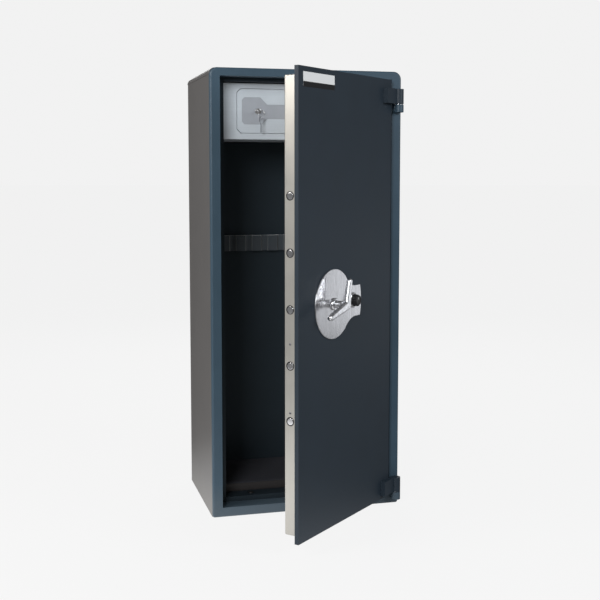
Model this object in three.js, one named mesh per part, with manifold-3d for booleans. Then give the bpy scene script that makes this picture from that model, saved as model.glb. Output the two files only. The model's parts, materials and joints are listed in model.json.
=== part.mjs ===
// A fire-resistant gun safe with one swinging door, an inner locker and a gun rack.
// Millimetres, +Z up. The origin is the centre of the footprint on the floor, -Y is the front and +X is
// the hinge side. The door stands open at DOOR_ANGLE, the rest position of its hinge.
import * as THREE from "three";
import { mergeVertices } from "three/addons/utils/BufferGeometryUtils.js";
import Module from "manifold-3d";

const wasm = await Module();
wasm.setup();

// ---------------------------------------------------------------- driving dimensions
const GAP = 0.3; // between pieces that touch
const WIDTH = 660;
const DEPTH = 465;
const HEIGHT = 1500;
const SHEET = 4; // outer steel
const LINER_SHEET = 2;
const SEAM_Z = 1478; // joint between the wrap and the top panel
const TOP_BEND = 20;
const CORNER_RADIUS = 26; // top corners of the front frame, seen from the front
const FACE_ROUND = 7; // rounded outer edge of the front frame
const FLANGE_DEPTH = 14;
const FRONT = -DEPTH / 2;
const REAR = DEPTH / 2;

const OPENING = { half: 296, low: 33, high: 1473 };
const JAMB_DEPTH = 60;
const JAMB_BACK = FRONT + JAMB_DEPTH;
const ROOM = { half: 273, low: 50, high: 1461, back: REAR - 57 }; // the lined inside

const DOOR_ANGLE = 42.7;
const AXIS = { x: 315.5, y: FRONT - 16.5 }; // hinge axis
// On the door, s runs from the hinge axis to the free edge, n runs from the axis plane into the safe.
const LEAF = { s0: 23, s1: 608, n0: 16.5, n1: 30.5, low: 36, high: 1470, skin: 5 };
const CASING = { s0: 32, s1: 597, n0: 30.8, n1: 73.5, low: 56, high: 1445, sheet: 2 };

const BOLT_N = 53;
const BOLT_RADIUS = 11;
const BOLT_THROW = 26;
const MID_Z = 750;
const BOLT_PITCH = 170;
const BOLT_HEIGHTS = [-2, -1, 0, 1, 2].map((k) => MID_Z + k * BOLT_PITCH);
const FIXED_BOLT_HEIGHTS = [-1, 0, 1].map((k) => MID_Z + k * 420);
const FIXED_BOLT_RADIUS = 10;

const HUB_S = 407.5; // handle axis on the door
const CRANK = BOLT_THROW; // crank radius: a 60 degree turn moves its pin by this much
const LOCK_S = 290; // lock axis on the door
const LOCK_Z = 751;

const KNUCKLE_RADIUS = 16;
const PIN_RADIUS = 7;
const HINGES = [
  { name: "upper", knuckle: [1362, 1388], strap: [1390, 1440] },
  { name: "lower", knuckle: [20.5, 46.5], strap: [48.5, 98.5] },
];

const LOCKER_FRONT = FRONT + 100;
const LOCKER = { low: 1271, high: 1458, back: ROOM.back - 6, sheet: 2 };
const HATCH = { x0: -221, x1: 223, low: 1291, high: 1441, chamfer: 13, thick: 15, gap: 1.5 };
const LOCKER_LOCK = { x: -147, z: 1365.5 };

// ---------------------------------------------------------------- materials
const paint = (color, roughness, metalness) =>
  new THREE.MeshStandardMaterial({ color, roughness, metalness });
const BODY_PAINT = paint(0x2f3d47, 0.45, 0.3);
const DOOR_PAINT = paint(0x262c33, 0.5, 0.3);
const LINER_PAINT = paint(0x1c2227, 0.7, 0.1);
const CASING_PAINT = paint(0xb4b2ae, 0.45, 0.4);
const LOCKER_PAINT = paint(0xb9c1c6, 0.45, 0.4);
const INLAY_GREY = paint(0x83878c, 0.55, 0.2);
const RACK_GREY = paint(0x4c5358, 0.8, 0.0);
const SATIN_STEEL = paint(0xb3b5b9, 0.3, 1.0);
const BRIGHT_STEEL = paint(0xdcdee2, 0.12, 1.0);
const DARK_STEEL = paint(0x5a5d60, 0.45, 0.9);
const BLACK_PLASTIC = paint(0x121212, 0.5, 0.0);
const RUBBER = paint(0x18191a, 0.9, 0.0);
const FIRE_BOARD = paint(0xd8d4ca, 0.95, 0.0);
const LABEL_WHITE = paint(0xe6e6e4, 0.4, 0.0);

// ---------------------------------------------------------------- geometry helpers
const radians = THREE.MathUtils.degToRad;

function solid(geometry) {
  const bare = geometry.clone();
  for (const name of ["normal", "uv"]) {
    bare.deleteAttribute(name);
  }
  const merged = mergeVertices(bare, 1e-3);
  const vertProperties = new Float32Array(merged.attributes.position.array);
  const triVerts = new Uint32Array(merged.index.array);
  return new wasm.Manifold(new wasm.Mesh({ numProp: 3, vertProperties, triVerts }));
}

function geometryOf(shape) {
  const mesh = shape.getMesh();
  const made = new THREE.BufferGeometry();
  made.setAttribute("position", new THREE.BufferAttribute(mesh.vertProperties, 3));
  made.setIndex(new THREE.BufferAttribute(mesh.triVerts, 1));
  return made;
}

function join(...shapes) {
  return shapes.reduce((whole, shape) => whole.add(shape));
}

function cut(whole, ...tools) {
  return tools.reduce((rest, tool) => rest.subtract(tool), whole);
}

// A box between two corners.
function block(x0, x1, y0, y1, z0, z1) {
  const box = new THREE.BoxGeometry(x1 - x0, y1 - y0, z1 - z0);
  return solid(box.translate((x0 + x1) / 2, (y0 + y1) / 2, (z0 + z1) / 2));
}

// A box on the door, in s and n.
function doorBlock(s0, s1, n0, n1, z0, z1) {
  return block(-s1, -s0, n0, n1, z0, z1);
}

// A round bar along one axis, from a to b, with its centre at the other two coordinates.
function rod(axis, radius, a, b, u, v, sides = 24) {
  const bar = new THREE.CylinderGeometry(radius, radius, b - a, sides);
  const middle = (a + b) / 2;
  if (axis === "x") return solid(bar.rotateZ(Math.PI / 2).translate(middle, u, v));
  if (axis === "y") return solid(bar.translate(u, middle, v));
  return solid(bar.rotateX(Math.PI / 2).translate(u, v, middle));
}

// A turned piece: profile points are [radius, distance along the axis], from axis to axis.
function turned(profile, sides = 24) {
  return new THREE.LatheGeometry(
    profile.map(([r, h]) => new THREE.Vector2(r, h)),
    sides,
  );
}

// A shape drawn in X and Z, made into a plate between y0 and y1.
function plateXZ(shape, y0, y1, curveSegments = 8) {
  const slab = new THREE.ExtrudeGeometry(shape, {
    depth: y1 - y0,
    bevelEnabled: false,
    curveSegments,
  });
  return solid(slab.rotateX(Math.PI / 2).translate(0, y1, 0));
}

// A shape drawn in X and Y, made into a plate between z0 and z1.
function plateXY(shape, z0, z1, curveSegments = 8) {
  const slab = new THREE.ExtrudeGeometry(shape, {
    depth: z1 - z0,
    bevelEnabled: false,
    curveSegments,
  });
  return solid(slab.translate(0, 0, z0));
}

// A shape drawn in Y and Z, made into a bar between x0 and x1.
function barYZ(shape, x0, x1, curveSegments = 8) {
  const slab = new THREE.ExtrudeGeometry(shape, {
    depth: x1 - x0,
    bevelEnabled: false,
    curveSegments,
  });
  const turn = new THREE.Matrix4().makeBasis(
    new THREE.Vector3(0, 1, 0),
    new THREE.Vector3(0, 0, 1),
    new THREE.Vector3(1, 0, 0),
  );
  return solid(slab.applyMatrix4(turn).translate(x0, 0, 0));
}

// A rectangle with a round radius for each corner: low left, low right, high right, high left.
function rectangle(x0, x1, y0, y1, radii = [0, 0, 0, 0]) {
  const [ll, lr, hr, hl] = radii;
  const shape = new THREE.Shape();
  const quarter = Math.PI / 2;
  shape.moveTo(x0 + ll, y0);
  shape.lineTo(x1 - lr, y0);
  if (lr) shape.absarc(x1 - lr, y0 + lr, lr, -quarter, 0);
  shape.lineTo(x1, y1 - hr);
  if (hr) shape.absarc(x1 - hr, y1 - hr, hr, 0, quarter);
  shape.lineTo(x0 + hl, y1);
  if (hl) shape.absarc(x0 + hl, y1 - hl, hl, quarter, 2 * quarter);
  shape.lineTo(x0, y0 + ll);
  if (ll) shape.absarc(x0 + ll, y0 + ll, ll, 2 * quarter, 3 * quarter);
  return shape;
}

// A rectangle whose corners are cut off at 45 degrees.
function chamferedRectangle(x0, x1, y0, y1, c) {
  const corners = [
    [x0 + c, y0],
    [x1 - c, y0],
    [x1, y0 + c],
    [x1, y1 - c],
    [x1 - c, y1],
    [x0 + c, y1],
    [x0, y1 - c],
    [x0, y0 + c],
  ];
  return new THREE.Shape(corners.map(([x, y]) => new THREE.Vector2(x, y)));
}

function addPiece(group, name, shape, material) {
  const geometry = shape.isBufferGeometry ? shape : geometryOf(shape);
  const mesh = new THREE.Mesh(geometry, material);
  mesh.name = name;
  group.add(mesh);
  return mesh;
}

const safe = new THREE.Group();
const cabinet = new THREE.Group();
const door = new THREE.Group();
door.position.set(AXIS.x, AXIS.y, 0);
door.rotation.z = radians(DOOR_ANGLE);
safe.add(cabinet, door);

// ---------------------------------------------------------------- cabinet body
// Left, rear and right sides, folded from one sheet.
function sideWrap() {
  const y0 = FRONT + FLANGE_DEPTH + GAP;
  const round = 12;
  const outer = rectangle(-WIDTH / 2, WIDTH / 2, y0, REAR, [0, 0, round, round]);
  const inner = rectangle(
    -WIDTH / 2 + SHEET,
    WIDTH / 2 - SHEET,
    y0 - 1,
    REAR - SHEET,
    [0, 0, round - SHEET, round - SHEET],
  );
  return cut(
    plateXY(outer, 0, SEAM_Z - GAP, 5),
    plateXY(inner, -1, SEAM_Z + 1, 5),
  );
}

// The top, a pressed tray with bent-down edges at the left, right and rear.
function topPanel() {
  const y0 = FRONT + FLANGE_DEPTH + GAP;
  const form = (inset, low) => {
    const bend = TOP_BEND - inset;
    const half = WIDTH / 2 - inset;
    const high = HEIGHT - inset;
    const across = rectangle(-half, half, low, high, [0, 0, bend, bend]);
    const along = rectangle(y0 - inset, REAR - inset, low, high, [0, 0, bend, 0]);
    return plateXZ(across, y0 - inset, REAR, 6).intersect(barYZ(along, -half, half, 6));
  };
  return cut(form(0, SEAM_Z), form(SHEET, SEAM_Z - 1));
}

// The welded frame round the doorway: a face with rounded outer edges and a deep jamb.
function frontFrame() {
  const round = FACE_ROUND;
  const outline = rectangle(
    -WIDTH / 2 + round,
    WIDTH / 2 - round,
    round,
    HEIGHT - round,
    [0.5, 0.5, CORNER_RADIUS - round, CORNER_RADIUS - round],
  );
  const rounded = new THREE.ExtrudeGeometry(outline, {
    depth: FLANGE_DEPTH,
    bevelEnabled: true,
    bevelSize: round,
    bevelThickness: round,
    bevelSegments: 4,
    curveSegments: 6,
  });
  rounded.rotateX(Math.PI / 2).translate(0, FRONT + FLANGE_DEPTH + round, 0);
  const behind = block(-400, 400, FRONT + FLANGE_DEPTH, 0, -50, HEIGHT + 50);
  const { half, low, high } = OPENING;
  const jamb = block(
    -half - SHEET,
    half + SHEET,
    FRONT + SHEET,
    JAMB_BACK,
    low - SHEET,
    high + SHEET,
  );
  const inset = SHEET + 1;
  const pocket = cut(
    plateXZ(
      rectangle(-WIDTH / 2 + inset, WIDTH / 2 - inset, inset, HEIGHT - inset, [0, 0, 20, 20]),
      FRONT + inset,
      FRONT + FLANGE_DEPTH + 1,
    ),
    block(-half - SHEET, half + SHEET, FRONT, 0, low - SHEET, high + SHEET),
  );
  const doorway = block(-half, half, FRONT - 1, 0, low, high);
  const boltY = AXIS.y + BOLT_N;
  const boltHoles = BOLT_HEIGHTS.map((z) =>
    rod("x", BOLT_RADIUS + 3, -half - SHEET - 1, -half + 1, boltY, z, 16),
  );
  const slots = FIXED_BOLT_HEIGHTS.map((z) =>
    block(half - 1, half + SHEET + 1, AXIS.y + 35, AXIS.y + 66, z - 13, z + 13),
  );
  const face = cut(solid(rounded), behind, pocket);
  return cut(join(face, jamb), doorway, ...boltHoles, ...slots);
}

const ANCHOR = { x: 180, y: -143, radius: 7 };
const anchorHoles = (z0, z1) =>
  [-1, 1].map((side) => rod("z", ANCHOR.radius, z0, z1, side * ANCHOR.x, ANCHOR.y, 16));

function basePlate() {
  const half = WIDTH / 2 - SHEET - GAP;
  const back = REAR - SHEET - GAP;
  const outline = rectangle(-half, half, FRONT + FLANGE_DEPTH + 1, back, [0, 0, 9, 9]);
  return cut(plateXY(outline, 0, SHEET, 4), ...anchorHoles(-1, SHEET + 1));
}

// The lining: a five-sided box with a flange that meets the back of the jamb.
function innerLiner() {
  const t = LINER_SHEET;
  const y0 = JAMB_BACK + GAP;
  const { half, low, high, back } = ROOM;
  const box = block(-half - t, half + t, y0, back + t, low - t, high + t);
  const flange = block(
    -OPENING.half - SHEET,
    OPENING.half + SHEET,
    y0,
    y0 + t,
    OPENING.low - SHEET,
    OPENING.high + SHEET,
  );
  const room = block(-half, half, y0 - 1, back, low, high);
  return cut(join(box, flange), room, ...anchorHoles(low - t - 1, low + 1));
}

// Fire board between the lining and the outer steel.
function fireFill() {
  const outerHalf = WIDTH / 2 - SHEET - 2 * GAP;
  const y0 = JAMB_BACK + LINER_SHEET + 2 * GAP;
  const shell = LINER_SHEET + GAP;
  const { half, low, high, back } = ROOM;
  const whole = block(-outerHalf, outerHalf, y0, REAR - 16, SHEET + GAP, SEAM_Z - 1);
  const hollow = block(-half - shell, half + shell, y0 - 1, back + shell, low - shell, high + shell);
  return cut(whole, hollow, ...anchorHoles(0, low));
}

function floorPlug(side) {
  const plug = turned([[0, 0], [6.5, 0], [6.5, 20 - GAP], [11, 20 - GAP], [10, 23], [0, 23]], 16);
  plug.rotateX(Math.PI / 2);
  return plug.translate(side * ANCHOR.x, ANCHOR.y, ROOM.low - 20 + 2 * GAP);
}

addPiece(cabinet, "side_wrap", sideWrap(), BODY_PAINT);
addPiece(cabinet, "top_panel", topPanel(), BODY_PAINT);
addPiece(cabinet, "front_frame", frontFrame(), BODY_PAINT);
addPiece(cabinet, "base_plate", basePlate(), BODY_PAINT);
addPiece(cabinet, "inner_liner", innerLiner(), LINER_PAINT);
addPiece(cabinet, "fire_fill", fireFill(), FIRE_BOARD);
addPiece(cabinet, "floor_plug_left", floorPlug(-1), BLACK_PLASTIC);
addPiece(cabinet, "floor_plug_right", floorPlug(1), BLACK_PLASTIC);

// ---------------------------------------------------------------- gun rack
const RACK = { front: FRONT + 117, low: ROOM.low + GAP, high: 77 };
const REST = { low: 871, high: 928, depth: 24, notches: 7, pitch: 60, radius: 13 };

function baseRack() {
  const t = 2;
  const half = ROOM.half - GAP;
  const back = ROOM.back - GAP;
  const tray = block(-half, half, RACK.front, back, RACK.low, RACK.high);
  const under = block(-half + t, half - t, RACK.front + t, back - t, RACK.low - 1, RACK.high - t);
  return cut(tray, under);
}

function buttMat() {
  const half = ROOM.half - 4;
  const mat = rectangle(-half, half, RACK.front + 3, ROOM.back - 4, [4, 4, 4, 4]);
  return plateXY(mat, RACK.high + GAP, RACK.high + GAP + 3, 3);
}

// A bar across the rear wall with one upright groove for each barrel.
function barrelRest() {
  const half = ROOM.half - GAP;
  const back = ROOM.back - GAP;
  const front = ROOM.back - REST.depth;
  const { radius, pitch, notches } = REST;
  const outline = new THREE.Shape();
  outline.moveTo(-half, front);
  for (let k = 0; k < notches; k += 1) {
    const x = (k - (notches - 1) / 2) * pitch;
    outline.lineTo(x - radius, front);
    outline.absarc(x, front, radius, Math.PI, 0, true);
  }
  outline.lineTo(half, front);
  outline.lineTo(half, back);
  outline.lineTo(-half, back);
  return plateXY(outline, REST.low, REST.high, 6);
}

addPiece(cabinet, "base_rack", baseRack(), LINER_PAINT);
addPiece(cabinet, "butt_mat", buttMat(), RUBBER);
addPiece(cabinet, "barrel_rest", barrelRest(), RACK_GREY);

// ---------------------------------------------------------------- outer hinges, frame side
function frameHinge([low, high]) {
  const r = KNUCKLE_RADIUS;
  const knuckle = rod("z", r, low, high, AXIS.x, AXIS.y, 32);
  const foot = block(AXIS.x - 14, WIDTH / 2 - 1, AXIS.y, FRONT - GAP, low, high);
  return cut(join(knuckle, foot), rod("z", PIN_RADIUS + GAP, low - 1, high + 1, AXIS.x, AXIS.y));
}

function hingePin([low], [, high]) {
  return rod("z", PIN_RADIUS, low + 2, high - 8, AXIS.x, AXIS.y);
}

function thrustWasher([, high]) {
  const ring = rod("z", 13, high + GAP, high + 2 - GAP, AXIS.x, AXIS.y);
  return cut(ring, rod("z", PIN_RADIUS + GAP, high, high + 3, AXIS.x, AXIS.y));
}

for (const { name, knuckle, strap } of HINGES) {
  addPiece(cabinet, `${name}_frame_knuckle`, frameHinge(knuckle), BODY_PAINT);
  addPiece(cabinet, `${name}_hinge_pin`, hingePin(knuckle, strap), BRIGHT_STEEL);
  addPiece(cabinet, `${name}_thrust_washer`, thrustWasher(knuckle), BRIGHT_STEEL);
}

// ---------------------------------------------------------------- inner locker
const FASCIA_BACK = LOCKER_FRONT + LOCKER.sheet;
const LIP_BACK = LOCKER_FRONT + 13;
const HATCH_AXIS = { x: HATCH.x1 - 6.5, y: LOCKER_FRONT + 3.5 };
const HATCH_BOLT = { half: 8, y0: LOCKER_FRONT + 4.5, y1: LOCKER_FRONT + 11.5, throw: 12 };

const hatchOutline = (grow) =>
  chamferedRectangle(
    HATCH.x0 - grow,
    HATCH.x1 + grow,
    HATCH.low - grow,
    HATCH.high + grow,
    HATCH.chamfer,
  );

function lockerShell() {
  const half = ROOM.half - GAP;
  const t = LOCKER.sheet;
  const y0 = FASCIA_BACK + GAP;
  const box = block(-half, half, y0, LOCKER.back, LOCKER.low, LOCKER.high);
  return cut(box, block(-half + t, half - t, y0 - 1, LOCKER.back - t, LOCKER.low + t, LOCKER.high - t));
}

// The front of the locker, with a returned lip round its doorway.
function lockerFascia() {
  const half = ROOM.half - GAP;
  const t = LOCKER.sheet;
  const face = plateXZ(rectangle(-half, half, LOCKER.low, LOCKER.high), LOCKER_FRONT, FASCIA_BACK);
  const lip = plateXZ(hatchOutline(t), LOCKER_FRONT, LIP_BACK);
  const doorway = plateXZ(hatchOutline(0), LOCKER_FRONT - 1, LIP_BACK + 1);
  const { half: h, y0, y1 } = HATCH_BOLT;
  const strike = block(
    HATCH.x0 - t - 1,
    HATCH.x0 + 1,
    y0 - 0.8,
    y1 + 0.8,
    LOCKER_LOCK.z - h - 0.8,
    LOCKER_LOCK.z + h + 0.8,
  );
  const pins = rod("z", 2.2, HATCH.low - 8, HATCH.high + 8, HATCH_AXIS.x, HATCH_AXIS.y, 16);
  return cut(join(face, lip), doorway, strike, pins);
}

// The outline of the grey inlay: a chamfered square round the lock with a band to the right.
function inlayOutline(shrink) {
  const left = -203 + shrink;
  const right = 196 - shrink;
  const step = -115;
  const c = 9;
  const points = [
    [left + c, 1321 + shrink],
    [step - 18, 1321 + shrink],
    [step, 1340 + shrink],
    [right, 1340 + shrink],
    [right, 1388 - shrink],
    [step, 1388 - shrink],
    [step - 24, 1412 - shrink],
    [left + c, 1412 - shrink],
    [left, 1412 - c - shrink],
    [left, 1321 + c + shrink],
  ];
  return new THREE.Shape(points.map(([x, z]) => new THREE.Vector2(x, z)));
}

const INLAY_DEPTH = 1.5;
const LOCK_HOLE = 10.3;

function lockerDoor() {
  const { thick, gap } = HATCH;
  const front = LOCKER_FRONT;
  const t = 3;
  const slab = plateXZ(hatchOutline(-gap), front, front + thick);
  const pan = plateXZ(hatchOutline(-gap - 2), front + t, front + thick + 1);
  const inlay = plateXZ(inlayOutline(0), front - 1, front + INLAY_DEPTH);
  const lock = rod("y", LOCK_HOLE, front - 1, front + t + 1, LOCKER_LOCK.x, LOCKER_LOCK.z);
  const { half: h, y0, y1 } = HATCH_BOLT;
  const boltHole = block(
    HATCH.x0,
    HATCH.x0 + gap + 3,
    y0 - 0.5,
    y1 + 0.5,
    LOCKER_LOCK.z - h - 0.5,
    LOCKER_LOCK.z + h + 0.5,
  );
  const bores = [
    rod("z", 2.4, HATCH.high - 16, HATCH.high + 1, HATCH_AXIS.x, HATCH_AXIS.y, 16),
    rod("z", 2.4, HATCH.low - 1, HATCH.low + 16, HATCH_AXIS.x, HATCH_AXIS.y, 16),
  ];
  return cut(slab, pan, inlay, lock, boltHole, ...bores);
}

function lockerInlay() {
  const y1 = LOCKER_FRONT + INLAY_DEPTH - GAP;
  const plate = plateXZ(inlayOutline(0.5), y1 - 0.7, y1);
  return cut(plate, rod("y", LOCK_HOLE, y1 - 2, y1 + 1, LOCKER_LOCK.x, LOCKER_LOCK.z));
}

// The case behind the locker door that guides its small bolt.
function lockerLockCase() {
  const { x, z } = LOCKER_LOCK;
  const y0 = LOCKER_FRONT + 3 + GAP;
  const box = block(x - 60, x + 22, y0, y0 + 11, z - 22, z + 22);
  const { half: h, y0: b0, y1: b1 } = HATCH_BOLT;
  const channel = block(x - 61, x - 12, b0 - 0.4, b1 + 0.4, z - h - 0.4, z + h + 0.4);
  return cut(box, channel, rod("y", 6.4, y0 - 1, y0 + 9, x, z));
}

function lockerLockBody() {
  const { x, z } = LOCKER_LOCK;
  const seat = LOCKER_FRONT + INLAY_DEPTH - GAP - 0.7 - GAP;
  const flange = rod("y", 13, seat - 1.8, seat, x, z, 32);
  const barrel = rod("y", 10, seat - 1, LOCKER_FRONT + 3, x, z);
  return cut(join(flange, barrel), rod("y", 6.4, seat - 3, LOCKER_FRONT + 4, x, z));
}

const hatch = new THREE.Group();
cabinet.add(hatch);
addPiece(cabinet, "locker_shell", lockerShell(), LOCKER_PAINT);
addPiece(cabinet, "locker_fascia", lockerFascia(), LOCKER_PAINT);
addPiece(
  cabinet,
  "locker_hinge_pin_upper",
  rod("z", 2, HATCH.high - 14, HATCH.high + 6, HATCH_AXIS.x, HATCH_AXIS.y, 16),
  BRIGHT_STEEL,
);
addPiece(
  cabinet,
  "locker_hinge_pin_lower",
  rod("z", 2, HATCH.low - 6, HATCH.low + 14, HATCH_AXIS.x, HATCH_AXIS.y, 16),
  BRIGHT_STEEL,
);
addPiece(hatch, "locker_door", lockerDoor(), LOCKER_PAINT);
addPiece(hatch, "locker_inlay", lockerInlay(), INLAY_GREY);
addPiece(hatch, "locker_lock_case", lockerLockCase(), DARK_STEEL);
addPiece(hatch, "locker_lock_body", lockerLockBody(), BRIGHT_STEEL);
addPiece(
  hatch,
  "locker_bolt",
  block(
    HATCH.x0 + HATCH.gap + 0.5,
    LOCKER_LOCK.x - 22,
    HATCH_BOLT.y0,
    HATCH_BOLT.y1,
    LOCKER_LOCK.z - HATCH_BOLT.half,
    LOCKER_LOCK.z + HATCH_BOLT.half,
  ),
  BRIGHT_STEEL,
);

// The key and its plug, with the bow level, and the spare key that hangs from it on a ring.
const KEY_FACE = LOCKER_FRONT - 1.3;
const BOW = { half: 12.5, hole: 5.5, eye: KEY_FACE - 22, end: KEY_FACE - 29, thick: 1.8 };
const RING = { radius: 12.5, wire: 0.7, tilt: radians(57) };
const AWAY = new THREE.Vector3(1, -1, 0).normalize(); // the ring hangs in the plane of this and Z

function lockerPlug() {
  return rod("y", 6, KEY_FACE, LOCKER_FRONT + 11, LOCKER_LOCK.x, LOCKER_LOCK.z);
}

// A flat key bow with a round eye, drawn with the eye at the origin and the blade towards -y.
function bowOutline(half, above, below, eye) {
  const shape = rectangle(-half, half, -below, above, [5, 5, 8, 8]);
  const hole = new THREE.Path();
  hole.absarc(0, 0, eye, 0, 2 * Math.PI, true);
  shape.holes.push(hole);
  return shape;
}

function lockerKey() {
  const { x, z } = LOCKER_LOCK;
  const { half, hole, eye, end, thick } = BOW;
  const bow = new THREE.ExtrudeGeometry(bowOutline(half, eye - end, 14, hole), {
    depth: thick,
    bevelEnabled: false,
    curveSegments: 6,
  });
  bow.rotateX(Math.PI).translate(x, eye, z + thick / 2);
  const neck = block(x - 4, x + 4, eye + 13, KEY_FACE - GAP, z - thick / 2, z + thick / 2);
  return join(solid(bow), neck);
}

const eyePoint = new THREE.Vector3(LOCKER_LOCK.x, BOW.eye, LOCKER_LOCK.z);
const ringCentre = eyePoint
  .clone()
  .addScaledVector(AWAY, RING.radius * Math.cos(RING.tilt))
  .add(new THREE.Vector3(0, 0, -RING.radius * Math.sin(RING.tilt)));

function keyRing() {
  const { radius, wire } = RING;
  const section = [];
  for (let k = 0; k <= 6; k += 1) {
    const turn = (k / 6) * 2 * Math.PI;
    section.push([radius + wire * Math.cos(turn), wire * Math.sin(turn)]);
  }
  const ring = turned(section, 28);
  const normal = new THREE.Vector3().crossVectors(AWAY, new THREE.Vector3(0, 0, 1));
  ring.applyQuaternion(
    new THREE.Quaternion().setFromUnitVectors(new THREE.Vector3(0, 1, 0), normal),
  );
  return solid(ring.translate(ringCentre.x, ringCentre.y, ringCentre.z));
}

// The spare key hangs with its bow square to the ring's lowest point.
function spareKey() {
  const thick = 1.8;
  const outline = bowOutline(10.5, 5.5, 16, 3.4);
  const bow = new THREE.ExtrudeGeometry(outline, {
    depth: thick,
    bevelEnabled: false,
    curveSegments: 6,
  });
  bow.translate(0, 0, -thick / 2);
  const blade = block(-3.5, 3.5, -50, -15, -thick / 2, thick / 2);
  const bits = [-47, -40, -33].map((y) => block(3, 6, y, y + 4, -thick / 2, thick / 2));
  const side = new THREE.Vector3().crossVectors(new THREE.Vector3(0, 0, 1), AWAY);
  const place = new THREE.Matrix4()
    .makeBasis(side, new THREE.Vector3(0, 0, 1), AWAY)
    .setPosition(ringCentre.x, ringCentre.y, ringCentre.z - RING.radius);
  return geometryOf(join(solid(bow), blade, ...bits)).applyMatrix4(place);
}

addPiece(hatch, "locker_plug", lockerPlug(), SATIN_STEEL);
addPiece(hatch, "locker_key", lockerKey(), BRIGHT_STEEL);
addPiece(hatch, "key_ring", keyRing(), BRIGHT_STEEL);
addPiece(hatch, "spare_key", spareKey(), BRIGHT_STEEL);

// ---------------------------------------------------------------- door leaf
// Holes for the two spindles, through whatever lies between n0 and n1.
const spindleHoles = (n0, n1) => [
  rod("y", 8.5, n0, n1, -HUB_S, MID_Z, 20),
  rod("y", 6.5, n0, n1, -LOCK_S, LOCK_Z, 20),
];

function doorLeaf() {
  const { s0, s1, n0, n1, low, high, skin } = LEAF;
  const slab = doorBlock(s0, s1, n0, n1, low, high);
  const pan = doorBlock(s0 + 4, s1 - 4, n0 + skin, n1 + 1, low + 4, high - 4);
  return cut(slab, pan, ...spindleHoles(n0 - 1, n1 + 1));
}

function doorBoard() {
  const { s0, s1, n0, n1, low, high, skin } = LEAF;
  const inset = 4 + GAP;
  const board = doorBlock(s0 + inset, s1 - inset, n0 + skin + GAP, n1, low + inset, high - inset);
  return cut(board, ...spindleHoles(n0, n1 + 1));
}

function doorHinge([low, high]) {
  const knuckle = rod("z", KNUCKLE_RADIUS, low, high, 0, 0, 32);
  const strap = doorBlock(0, 82, -1, LEAF.n0 - GAP, low, high);
  return cut(join(knuckle, strap), rod("z", PIN_RADIUS + GAP, low - 1, high - 6, 0, 0));
}

addPiece(door, "door_leaf", doorLeaf(), DOOR_PAINT);
addPiece(door, "door_fire_board", doorBoard(), FIRE_BOARD);
for (const { name, strap } of HINGES) {
  addPiece(door, `${name}_door_hinge`, doorHinge(strap), DOOR_PAINT);
}

// ---------------------------------------------------------------- boltwork cover
const COVER_SCREWS = [];
for (const s of [70, 560]) {
  for (const z of [CASING.low + 34, CASING.high - 34]) {
    COVER_SCREWS.push([s, z]);
  }
}

const EDGE_SCREW_HEIGHTS = [436, 646];

// A deep pan behind the leaf that covers the boltwork, open towards the leaf.
function boltworkCover() {
  const { s0, s1, n0, n1, low, high, sheet } = CASING;
  const outside = doorBlock(s0, s1, n0, n1, low, high);
  const inside = doorBlock(s0 + sheet, s1 - sheet, n0 - 1, n1 - sheet, low + sheet, high - sheet);
  const boltHoles = BOLT_HEIGHTS.map((z) =>
    rod("x", BOLT_RADIUS + 1, -s1 - 1, -s1 + sheet + 1, BOLT_N, z, 20),
  );
  const fixedHoles = FIXED_BOLT_HEIGHTS.map((z) =>
    rod("x", FIXED_BOLT_RADIUS + 1, -s0 - sheet - 1, -s0 + 1, BOLT_N, z, 16),
  );
  const screwHoles = COVER_SCREWS.map(([s, z]) => rod("y", 3.3, n1 - sheet - 1, n1 + 1, -s, z, 12));
  const edgeHoles = EDGE_SCREW_HEIGHTS.map((z) =>
    rod("x", 2.3, -s1 - 1, -s1 + sheet + 1, BOLT_N, z, 12),
  );
  return cut(outside, inside, ...boltHoles, ...fixedHoles, ...screwHoles, ...edgeHoles);
}

function coverScrew([s, z]) {
  const head = CASING.n1 + GAP;
  const screw = turned([[0, -12], [3, -12], [3, 0], [6, 0], [5, 2], [0, 2]], 12);
  return screw.translate(-s, head, z);
}

// A small pan-head screw in the cover's free edge.
function edgeScrew(z) {
  const screw = turned([[0, -8], [2, -8], [2, 0], [4, 0], [3.2, 1.4], [0, 1.4]], 12);
  return screw.rotateZ(Math.PI / 2).translate(-CASING.s1 - GAP, BOLT_N, z);
}

addPiece(door, "boltwork_cover", boltworkCover(), CASING_PAINT);
EDGE_SCREW_HEIGHTS.forEach((z, k) => {
  addPiece(door, `edge_screw_${k + 1}`, edgeScrew(z), DARK_STEEL);
});
COVER_SCREWS.forEach((place, k) => {
  addPiece(door, `cover_screw_${k + 1}`, coverScrew(place), DARK_STEEL);
});

// ---------------------------------------------------------------- boltwork
const CARRIER = { s0: 522, s1: 547, n0: 46, n1: 60 };
const ARM = { s0: 250, z0: 766, z1: 792, n0: 46, n1: 57 };
const CRANK_ANGLE = radians(30); // the crank pin sits this far either side of upright
const PIN = { s: HUB_S - CRANK * Math.sin(CRANK_ANGLE), z: MID_Z + CRANK * Math.cos(CRANK_ANGLE) };

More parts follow.
